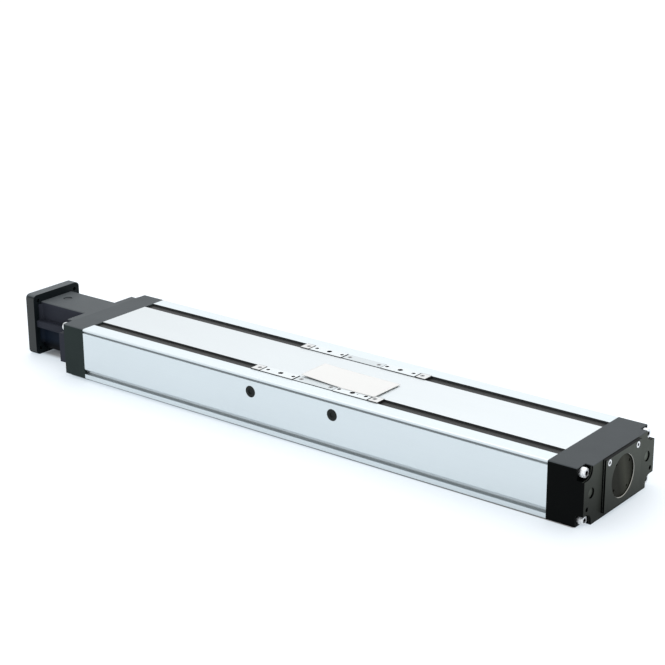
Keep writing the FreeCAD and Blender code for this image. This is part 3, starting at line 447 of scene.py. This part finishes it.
def cast_finish(name, colours):
    """Black casting of the motor mount: painted light on the top, painted highlight on the flange rim, dark
    flange back, painted shade on the lower panels and a painted shadow at their bottom.
    """
    finish = Finish(name, specular_ior_level=0.06)
    x, y, z = finish.axes()
    low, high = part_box("motor_mount")
    skin = finish.noise((400.0, 400.0, 400.0))
    cloud = finish.noise((30.0, 30.0, 30.0), 3.0)
    grain = 0.6 * cloud + 0.4 * skin
    flange = low.x + FLANGE_THICKNESS
    reach = (high.z - low.z) / 2 - 0.6 * MM
    across = z - (high.z + low.z) / 2

    def grained(colour, least, most):
        return finish.blend(grain, shade(colour, least), shade(colour, most))

    tone = grained(colours.mount, 0.85, 1.2)
    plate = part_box("drive_end_block")[0].x - 10 * MM
    rib_level = 32 * MM
    rib_reach = 36 * MM
    # painted shade on the panels below the ribs
    panel = z.below(rib_level, MM) * abs(y).below(rib_reach, MM) * x.below(plate, MM)
    tone = finish.blend(panel, tone, grained(colours.under, 0.9, 1.1))
    # painted shadow at the bottom of the lower panels
    tone = finish.blend(panel * z.below(13 * MM, 4 * MM), tone, shade(colours.under, 0.15))
    disc = x.below(flange + 0.3 * MM, 0.1 * MM)
    tone = finish.blend(disc, tone, grained(colours.flange_back, 0.85, 1.2))
    # painted highlight on the sides of the flange
    edge = abs(y).above(reach, 0.2 * MM) + abs(across).above(reach, 0.2 * MM)
    rim = disc * x.below(flange - 0.2 * MM, 0.1 * MM) * edge
    tone = finish.blend(rim, tone, grained(colours.flange_rim_highlight, 0.85, 1.2))
    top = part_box("top_cover")[1].z - TOP_LIGHT_BAND
    # painted light on the top of the housing
    lit_top = z.above(top) * x.above(flange + 0.3 * MM, 0.1 * MM)
    tone = finish.blend(lit_top, tone, grained(colours.top_light, 0.80, 1.05))
    # painted light on the top of the flange
    crown = z.above(high.z - 2 * MM, MM) * x.below(flange - 0.2 * MM, 0.1 * MM)
    tone = finish.blend(crown, tone, grained(colours.top_light, 1.0, 1.3))
    finish.set("Base Color", tone)
    finish.set("Roughness", 0.45 + 0.12 * skin)
    finish.relief(skin, 0.10)
    return finish.material


def turned_finish(name, colour):
    """Blackened turned face of the bearing cap: fine rings and a painted highlight band across the middle."""
    finish = Finish(name, specular_ior_level=0.02)
    y, z = finish.axes()[1:]
    across, reach = round_cap(y, z)
    ring_step = 0.9 * MM
    rings = reach.maths("FRACT", reach / ring_step)
    # painted highlight band across the turned face
    highlight_band = abs(y - 7.5 * MM + 0.25 * across).below(4 * MM, 10 * MM)
    light = 0.85 * highlight_band + 0.15 * rings
    finish.set("Base Color", finish.blend(light, shade(colour, 0.60), shade(colour, 2.5)))
    finish.set("Roughness", 0.42 + 0.08 * rings)
    finish.relief(rings, 0.10)
    return finish.material


class MODULE_OT_finishes(bpy.types.Operator):
    """Gives every solid of the module its finish"""
    bl_idname = "module.finishes"
    bl_label = "Finishes"

    def execute(self, context):
        colours = context.scene.module_finish
        dress(extruded_finish("clear_profile", colours.clear, profile_shade), "profile_body")
        dress(extruded_finish("clear_cover", colours.cover, cover_shade, 1.2), "top_cover")
        dress(bar_finish("bare_bars", colours.bars, "carriage"), "carriage")
        dress(bar_finish("bare_deflectors", colours.deflector, "strip_deflectors", deflector_seam_shade),
              "strip_deflectors")
        dress(bar_finish("bare_inset", colours.inset, "inset_plates"), "inset_plates")
        dress(milled_finish("bare_aluminium", colours.bare, 0.7, 0.30, 0.05),
              "coupling_hub_screw", "coupling_hub_motor")
        block_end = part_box("idle_end_block")[1].x - JUST_UNDER
        plate_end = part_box("end_plate")[1].x - JUST_UNDER
        # painted top light, weaker on the idle block
        idle_top_light = shade(colours.top_light, 0.75)
        black, face = colours.black, colours.face
        dress(black_finish("black_idle", black, 0.40, idle_top_light, face, block_end), "idle_end_block")
        dress(black_finish("black_plate", black, 0.40, black, face, plate_end, colours.rim), "end_plate")
        # painted top light for the drive block
        dress(black_finish("black_drive", colours.drive, 0.42, shade(colours.top_light, 0.90)), "drive_end_block")
        dress(cast_finish("black_cast", colours), "motor_mount")
        dress(turned_finish("blackened_steel", colours.cap), "bearing_cap")
        dress(milled_finish("zinc_plate", colours.zinc, 0.9, 0.28, 0.06),
              "guide_rail_screws", "runner_screws", "nut_screws", "coupling_set_screws")
        head_and_socket_radius = {
            "motor_mount_screws": (5.0 * MM, 2.9 * MM),
            "end_block_screws": (5.0 * MM, 2.9 * MM),
            "cover_screws": (3.5 * MM, 1.75 * MM),
        }
        for node, (head, socket) in head_and_socket_radius.items():
            dress(screw_finish("zinc_" + node, colours.zinc, node, head, socket), node)
        dress(milled_finish("grey_zinc", colours.grey, 0.7, 0.35, 0.10), "inset_screws", "deflector_screws")
        dress(extruded_finish("ground_steel", colours.steel),
              "guide_rail_front", "guide_rail_rear", "runner_block_front_left", "runner_block_front_right",
              "runner_block_rear_left", "runner_block_rear_right", "ball_screw", "ball_nut",
              "fixed_bearing_outer_ring", "fixed_bearing_inner_ring", "floating_bearing_outer_ring",
              "floating_bearing_inner_ring", "bearing_retainer", "shaft_lock_nut", "shaft_clip")
        dress(moulded_finish("plug_plastic", colours.plug, 0.40), "port_plugs")
        dress(moulded_finish("black_plastic", colours.plastic, 0.40), "runner_end_caps")
        # the plug takes a darker copy of the painted top light colour
        dress(moulded_finish("worn_plastic", shade(colours.top_light, 0.55), 0.45), "coupling_access_plug")
        dress(moulded_finish("black_rubber", colours.plastic, 0.70), "end_buffers")
        dress(moulded_finish("elastomer", colours.elastomer, 0.45), "coupling_spider")
        return {"FINISHED"}


class MODULE_OT_strips(bpy.types.Operator):
    """Lays the sealing strips straight along both slots"""
    bl_idname = "module.strips"
    bl_label = "Sealing strips"

    def execute(self, context):
        settings = context.scene.module_strip
        finish = Finish("strip_steel", metallic=0.2, specular_ior_level=0.2)
        colour = context.scene.module_finish.strip
        lines = finish.noise((4.0, 1200.0, 1200.0))
        cloud = finish.noise((12.0, 60.0, 60.0), 3.0)
        grain = 0.5 * lines + 0.5 * cloud
        finish.set("Base Color", finish.blend(grain, shade(colour, 0.75), shade(colour, 1.3)))
        finish.set("Roughness", 0.40 + 0.15 * lines)
        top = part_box("top_cover")[1].z - settings.drop
        for name in ("sealing_strip_front", "sealing_strip_rear"):
            low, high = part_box(name)
            section = []
            steps = 12
            for k in range(steps + 1):
                share = k / steps
                camber = settings.camber * (2 * share - 1) ** 2
                section.append((low.y + (high.y - low.y) * share, top - camber))
            section += [(y, z - settings.thickness) for y, z in reversed(section)]
            count = len(section)
            corners = [(x, y, z) for x in (low.x, high.x) for y, z in section]
            faces = [(k, (k + 1) % count, count + (k + 1) % count, count + k) for k in range(count)]
            faces += [tuple(range(count - 1, -1, -1)), tuple(range(count, 2 * count))]
            strip = piece_from(name + "_straight", corners, faces, finish.material, "module")
            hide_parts(name)
        return {"FINISHED"}


class MODULE_OT_label(bpy.types.Operator):
    """Lays the blank paper label on the cover and the front bar, with one end curled up"""
    bl_idname = "module.label"
    bl_label = "Paper label"

    def execute(self, context):
        settings = context.scene.module_label
        finish = Finish("label_paper", roughness=0.85)
        fibre = finish.noise((900.0, 900.0, 900.0), 4.0)
        cloud = finish.noise((35.0, 35.0, 35.0), 3.0)
        paper = settings.paper
        grain = 0.4 * fibre + 0.6 * cloud
        finish.set("Base Color", finish.blend(grain, shade(paper, 0.97), shade(paper, 1.02)))
        finish.relief(cloud, 0.10, 0.4 * MM)
        across, along = 18, 40
        clearance = 0.15 * MM
        wave = 0.12 * MM
        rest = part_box("carriage")[1].z + clearance
        turn = Matrix.Rotation(settings.turn, 3, "Z")
        sheet = []
        for level in (0.0, settings.thickness):
            for i in range(along + 1):
                for j in range(across + 1):
                    u = i / along
                    v = j / across
                    flat = turn @ Vector(((u - 0.5) * settings.length, (v - 0.5) * settings.width, 0))
                    lift = settings.near_lift + (settings.far_lift - settings.near_lift) * v
                    curl = lift * max(0.0, 1 - u / 0.5) ** 1.4
                    ripple = wave * (1 + math.sin(7.0 * u + 2.0 * v)) * (1 - 0.5 * v)
                    height = rest + curl + ripple + level
                    slant = settings.skew * max(0.0, 1 - u / 0.6)
                    x = settings.centre_x + flat.x + slant * (0.2 - 0.4 * v)
                    sheet.append((x, settings.centre_y + flat.y + slant * (1 - v), height))
        faces = []
        row = across + 1
        layer = row * (along + 1)
        for i in range(along):
            for j in range(across):
                a = i * row + j
                faces.append((a, a + 1, a + row + 1, a + row))
                faces.append((a + layer, a + row + layer, a + row + 1 + layer, a + 1 + layer))
        border = [i * row for i in range(along + 1)] + [along * row + j for j in range(1, row)]
        border += [i * row + across for i in range(along - 1, -1, -1)] + [j for j in range(across - 1, 0, -1)]
        for first, second in zip(border, border[1:] + border[:1]):
            faces.append((first, second, second + layer, first + layer))
        label = piece_from("paper_label", sheet, faces, finish.material, "module")
        for face in label.data.polygons:
            face.use_smooth = True
        return {"FINISHED"}


def new_tree(name, inputs):
    """Geometry node tree with a Geometry input and named number inputs; gives their sockets too."""
    tree = bpy.data.node_groups.new(name, "GeometryNodeTree")
    tree.interface.new_socket("Geometry", in_out="INPUT", socket_type="NodeSocketGeometry")
    keys = {label: tree.interface.new_socket(label, in_out="INPUT", socket_type="NodeSocketFloat").identifier
            for label in inputs}
    tree.interface.new_socket("Geometry", in_out="OUTPUT", socket_type="NodeSocketGeometry")
    graph = Graph(tree)
    source = tree.nodes.new("NodeGroupInput")
    values = {label: Value(graph, source.outputs[label]) for label in ["Geometry"] + list(inputs)}
    return graph, values, keys


def end_tree(graph, geometry, material):
    solid = graph.node("GeometryNodeRealizeInstances", values={"Geometry": geometry})
    done = graph.node("GeometryNodeSetMaterial", values={"Geometry": solid, "Material": material})
    graph.feed(graph.tree.nodes.new("NodeGroupOutput").inputs["Geometry"], done)
    return graph.tree


def rim_tree(material):
    """Bright chamfer rims: a thin ring on every point."""
    graph, values, keys = new_tree("hole_rims", ["Rim size", "Hole radius"])
    path = graph.node("GeometryNodeCurvePrimitiveCircle", values={
        "Resolution": 32, "Radius": values["Hole radius"]})
    wire = graph.node("GeometryNodeCurvePrimitiveCircle", values={
        "Resolution": 6, "Radius": values["Rim size"]})
    ring = graph.node("GeometryNodeCurveToMesh", values={"Curve": path, "Profile Curve": wire})
    rings = graph.node("GeometryNodeInstanceOnPoints", values={
        "Points": values["Geometry"], "Instance": ring})
    return end_tree(graph, rings, material), keys


def knurl_tree(material, count):
    """Knurled heads: a crown of thin ridges along X on every point."""
    graph, values, keys = new_tree("head_knurls", ["Head radius", "Ridge", "Length"])
    ridge = graph.node("GeometryNodeMeshCylinder", {"fill_type": "TRIANGLE_FAN"}, {
        "Vertices": 6, "Radius": values["Ridge"], "Depth": values["Length"]})
    circle = graph.node("GeometryNodeMeshCircle", values={"Vertices": count, "Radius": values["Head radius"]})
    crown = graph.node("GeometryNodeInstanceOnPoints", values={"Points": circle, "Instance": ridge})
    turned = graph.node("GeometryNodeTransform", values={
        "Geometry": crown, "Rotation": (0.0, math.pi / 2, 0.0)})
    crowns = graph.node("GeometryNodeInstanceOnPoints", values={
        "Points": values["Geometry"], "Instance": turned})
    return end_tree(graph, crowns, material), keys


def thread_tree(material):
    """Cuts a right-hand ball groove into a turned bar that lies along X."""
    graph, values, keys = new_tree("ball_thread", [
        "Lead", "Depth", "Half width", "Radius", "Height", "Start", "Stop"])
    spot = graph.node("GeometryNodeInputPosition")
    x, y, z = [graph.node("ShaderNodeSeparateXYZ", values={"Vector": spot}, output=k) for k in range(3)]
    across = z - values["Height"]
    turn = across.maths("ARCTAN2", across, y) / math.tau
    phase = x / values["Lead"] - turn + 0.5
    offset = (phase.maths("FRACT", phase) - 0.5) * values["Lead"] / values["Half width"]
    inside = 1 - offset * offset
    arc = inside.maths("MAXIMUM", inside, 0.0) ** 0.5
    zone = x.maths("GREATER_THAN", x, values["Start"]) * x.maths("LESS_THAN", x, values["Stop"])
    shrink = 1 - arc * zone * values["Depth"] / values["Radius"]
    place = graph.node("ShaderNodeCombineXYZ", values={
        0: x, 1: y * shrink, 2: across * shrink + values["Height"]})
    cut = graph.node("GeometryNodeSetPosition", values={"Geometry": values["Geometry"], "Position": place})
    return end_tree(graph, cut, material), keys


def grown(name, vertices, faces, tree, values, body):
    """Piece made by a node tree from points or a simple mesh, turned into a plain mesh."""
    start = bpy.data.meshes.new(name + "_start")
    start.from_pydata(vertices, [], faces)
    seed = bpy.data.objects.new(name + "_seed", start)
    modifier = seed.modifiers.new("grow", "NODES")
    modifier.node_group = tree
    for identifier, value in values.items():
        modifier[identifier] = value
    bpy.context.scene.collection.objects.link(seed)
    evaluated = seed.evaluated_get(bpy.context.evaluated_depsgraph_get())
    mesh = bpy.data.meshes.new_from_object(evaluated)
    if not mesh.polygons:
        raise RuntimeError(name + " came out empty")
    bpy.data.objects.remove(seed)
    piece = bpy.data.objects.new(name, mesh)
    bpy.context.scene.collection.objects.link(piece)
    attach(piece, body)
    return piece


def turned_bar(stations, height, sides):
    """Closed turned bar along X through (x, radius) stations."""
    vertices = []
    for x, radius in stations:
        for k in range(sides):
            angle = math.tau * k / sides
            vertices.append((x, radius * math.cos(angle), height + radius * math.sin(angle)))
    faces = [tuple(range(sides - 1, -1, -1))]
    for ring in range(len(stations) - 1):
        for k in range(sides):
            a = ring * sides + k
            b = ring * sides + (k + 1) % sides
            faces.append((a, b, b + sides, a + sides))
    last = (len(stations) - 1) * sides
    faces.append(tuple(range(last, last + sides)))
    return vertices, faces


class MODULE_OT_knurls(bpy.types.Operator):
    """Knurls the heads of the corner screws"""
    bl_idname = "module.knurls"
    bl_label = "Screw knurls"

    def execute(self, context):
        settings = context.scene.module_knurl
        low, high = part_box("end_block_screws")
        points = [(x, y, z)
                  for x in (low.x + settings.head_height / 2, high.x - settings.head_height / 2)
                  for y in (low.y + settings.head_radius, high.y - settings.head_radius)
                  for z in (low.z + settings.head_radius, high.z - settings.head_radius)]
        tree, keys = knurl_tree(NODES["runner_screws"].data.materials[0], settings.count)
        values = {keys["Head radius"]: settings.head_radius, keys["Ridge"]: settings.ridge,
                  keys["Length"]: settings.head_height * 0.7}
        grown("corner_screw_knurls", points, [], tree, values, "module")
        return {"FINISHED"}


class MODULE_OT_screw(bpy.types.Operator):
    """Cuts the ball groove into the screw"""
    bl_idname = "module.screw"
    bl_label = "Ball screw"

    def execute(self, context):
        settings = context.scene.module_screw
        low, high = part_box("ball_screw")
        radius = (high.y - low.y) / 2
        height = (high.z + low.z) / 2
        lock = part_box("shaft_lock_nut")[0].x
        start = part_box("fixed_bearing_inner_ring")[1].x
        stop, clip = [corner.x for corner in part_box("floating_bearing_inner_ring")]
        clip_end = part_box("shaft_clip")[1].x
        step = 1.25 * MM
        steps = int((stop - start) / step)
        stations = [(low.x, settings.drive_journal), (lock, settings.drive_journal)]
        stations += [(lock, settings.fixed_journal), (start, settings.fixed_journal)]
        stations += [(start + (stop - start) * k / steps, radius) for k in range(steps + 1)]
        stations += [(stop, settings.idle_journal), (clip, settings.idle_journal)]
        stations += [(clip, settings.clip_groove), (clip_end, settings.clip_groove)]
        stations += [(clip_end, settings.idle_journal), (high.x, settings.idle_journal)]
        vertices, faces = turned_bar(stations, height, sides=32)
        tree, keys = thread_tree(NODES["ball_nut"].data.materials[0])
        margin = settings.lead / 4
        values = {keys["Lead"]: settings.lead, keys["Depth"]: settings.depth,
                  keys["Half width"]: settings.width, keys["Radius"]: radius, keys["Height"]: height,
                  keys["Start"]: start + margin, keys["Stop"]: stop - margin}
        screw = grown("ball_screw_thread", vertices, faces, tree, values, "screw")
        for face in screw.data.polygons:
            face.use_smooth = True
        screw.data.set_sharp_from_angle(angle=math.radians(40))
        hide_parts("ball_screw")
        return {"FINISHED"}


def pattern_points(mount, lift):
    """Hole centres of a rectangular bolt pattern on the mounting bars."""
    x, y, z = mount["pos_m"]
    half_x = mount["dims"]["spacing_x_mm"] * MM / 2
    half_y = mount["dims"]["spacing_y_mm"] * MM / 2
    return [(x + a * half_x, y + b * half_y, z + lift) for a in (-1, 1) for b in (-1, 1)]


class MODULE_OT_rims(bpy.types.Operator):
    """Puts a bright rim round each threaded hole of the mounting bars"""
    bl_idname = "module.rims"
    bl_label = "Hole rims"

    def execute(self, context):
        size = context.scene.module_rim.size
        material = milled_finish("rim_bright", context.scene.module_finish.bare, 0.8, 0.25, 0.05)
        groups = {"main_hole_rims": ["carriage_main_threads"],
                  "side_hole_rims": ["carriage_inner_threads", "carriage_outer_threads"]}
        tree, keys = rim_tree(material)
        for name, mounts in groups.items():
            points = [point for mount in mounts for point in pattern_points(MOUNTS[mount], -0.3 * size)]
            radius = MOUNTS[mounts[0]]["dims"]["hole_r_mm"] * MM
            values = {keys["Rim size"]: size, keys["Hole radius"]: radius}
            grown(name, points, [], tree, values, "carriage")
        return {"FINISHED"}


class MODULE_OT_stage(bpy.types.Operator):
    """Sets the floor, the studio light and the camera"""
    bl_idname = "module.stage"
    bl_label = "Stage"

    def execute(self, context):
        settings = context.scene.module_stage
        self.floor(settings)
        self.light(context.scene, settings)
        self.camera(context.scene, settings)
        return {"FINISHED"}

    def floor(self, settings):
        """Floor under the motor flange and the idle block, the two ends that the module stands on."""
        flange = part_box("motor_mount")[0]
        block_low, block_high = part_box("idle_end_block")
        start_x = flange.x + FLANGE_THICKNESS
        slope = (block_low.z - flange.z) / (block_high.x - start_x)
        reach = 12.0
        gap = 0.1 * MM
        corners = [(x, y, flange.z + slope * (x - start_x) - gap)
                   for x, y in ((-reach, -reach), (reach, -reach), (reach, reach), (-reach, reach))]
        mesh = bpy.data.meshes.new("studio_floor")
        mesh.from_pydata(corners, [], [(0, 1, 2, 3)])
        finish = Finish("studio_floor", roughness=0.6)
        cloud = finish.noise((2.0, 2.0, 2.0))
        base = finish.blend(cloud, shade(settings.floor, 0.99), shade(settings.floor, 1.01))
        finish.set("Base Color", base)
        # the glow is cut back where shadow is painted under and round the module
        glow = finish.blend(self.floor_shadow(finish), shade(settings.glow, 1.0), shade(settings.glow, 0.03))
        finish.set("Emission Color", glow)
        finish.set("Emission Strength", 1.0)
        mesh.materials.append(finish.material)
        floor = bpy.data.objects.new("studio_floor", mesh)
        bpy.context.scene.collection.objects.link(floor)

    def floor_shadow(self, finish):
        """Painted shadow on the floor right under the module and painted soft shade round both ends."""
        x, y = finish.axes()[:2]
        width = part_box("profile_body")[1].y
        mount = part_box("motor_mount")[0].x
        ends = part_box("drive_end_block")[0].x
        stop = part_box("idle_end_block")[1].x
        margin = 1.1 * MM
        taper = 0.0125
        # painted contact shadow under the profile, painted shade round the motor mount and the idle end
        under = (abs(y) - taper * (x - stop)).below(width + margin, MM)
        body = x.above(ends, 2 * MM) * x.below(stop - 10 * MM, 2 * MM) * under
        wide = 0.15 * abs(y).below(60 * MM, 50 * MM) + 0.75 * abs(y).below(30 * MM, 4 * MM)
        mount_shade = x.above(mount, 20 * MM) * x.below(ends, 2 * MM) * wide
        end_shade = x.above(stop - 160 * MM, 120 * MM) * x.below(stop + 60 * MM, 100 * MM)
        return body + mount_shade + 0.2 * end_shade * abs(y).below(width + 40 * MM, 80 * MM)

    def light(self, scene, settings):
        world = bpy.data.worlds.new("studio_sky")
        world.use_nodes = True
        sky = world.node_tree.nodes["Background"]
        sky.inputs["Color"].default_value = shade(settings.sky, 1.0)
        sky.inputs["Strength"].default_value = settings.sky_strength
        scene.world = world
        lamp = bpy.data.lights.new("ceiling_softbox", "AREA")
        lamp.shape = "RECTANGLE"
        lamp.size = 2.6
        lamp.size_y = 2.0
        lamp.energy = settings.top_power
        box = bpy.data.objects.new("ceiling_softbox", lamp)
        box.location = (-0.3, 0.9, 2.2)
        aim = Vector((0, 0, 0)) - Vector(box.location)
        box.rotation_euler = aim.to_track_quat("-Z", "Y").to_euler()
        scene.collection.objects.link(box)
        scene.view_settings.view_transform = "Standard"

    def camera(self, scene, settings):
        az, el, roll = settings.azimuth, settings.elevation, settings.roll
        back = Vector((math.sin(az) * math.cos(el), -math.cos(az) * math.cos(el), math.sin(el)))
        right = (-back).cross(Vector((0, 0, 1))).normalized()
        up = right.cross(-back)
        side = right * math.cos(roll) + up * math.sin(roll)
        head = up * math.cos(roll) - right * math.sin(roll)
        data = bpy.data.cameras.new("photo_camera")
        data.sensor_width = 36.0
        data.lens = settings.lens
        data.clip_end = 50.0
        camera = bpy.data.objects.new("photo_camera", data)
        turn = Matrix((side, head, back)).transposed().to_4x4()
        camera.matrix_world = Matrix.Translation(settings.camera) @ turn
        scene.collection.objects.link(camera)
        scene.camera = camera


class MODULE_PT_panel(bpy.types.Panel):
    """Lists the steps that dress the module"""
    bl_idname = "MODULE_PT_panel"
    bl_label = "Linear module"
    bl_space_type = "VIEW_3D"
    bl_region_type = "UI"
    bl_category = "Module"

    def draw(self, context):
        for step in STEPS:
            self.layout.operator(step.bl_idname)
        for name in GROUPS:
            settings = getattr(context.scene, name)
            box = self.layout.box()
            for key in settings.__annotations__:
                box.prop(settings, key)


STEPS = (MODULE_OT_finishes, MODULE_OT_strips, MODULE_OT_screw, MODULE_OT_knurls, MODULE_OT_label,
         MODULE_OT_rims, MODULE_OT_stage)
GROUPS = {
    "module_finish": FinishSettings,
    "module_strip": StripSettings,
    "module_label": LabelSettings,
    "module_rim": RimSettings,
    "module_screw": ScrewSettings,
    "module_knurl": KnurlSettings,
    "module_stage": StageSettings,
}


def register():
    for name, group in GROUPS.items():
        bpy.utils.register_class(group)
        setattr(bpy.types.Scene, name, bpy.props.PointerProperty(type=group))
    for step in STEPS:
        bpy.utils.register_class(step)
    bpy.utils.register_class(MODULE_PT_panel)


def unregister():
    bpy.utils.unregister_class(MODULE_PT_panel)
    for step in reversed(STEPS):
        bpy.utils.unregister_class(step)
    for name, group in GROUPS.items():
        delattr(bpy.types.Scene, name)
        bpy.utils.unregister_class(group)


def main():
    register()
    bpy.ops.module.finishes()
    bpy.ops.module.strips()
    bpy.ops.module.screw()
    bpy.ops.module.knurls()
    bpy.ops.module.label()
    bpy.ops.module.rims()
    bpy.ops.module.stage()


if __name__ == "__main__":
    main()
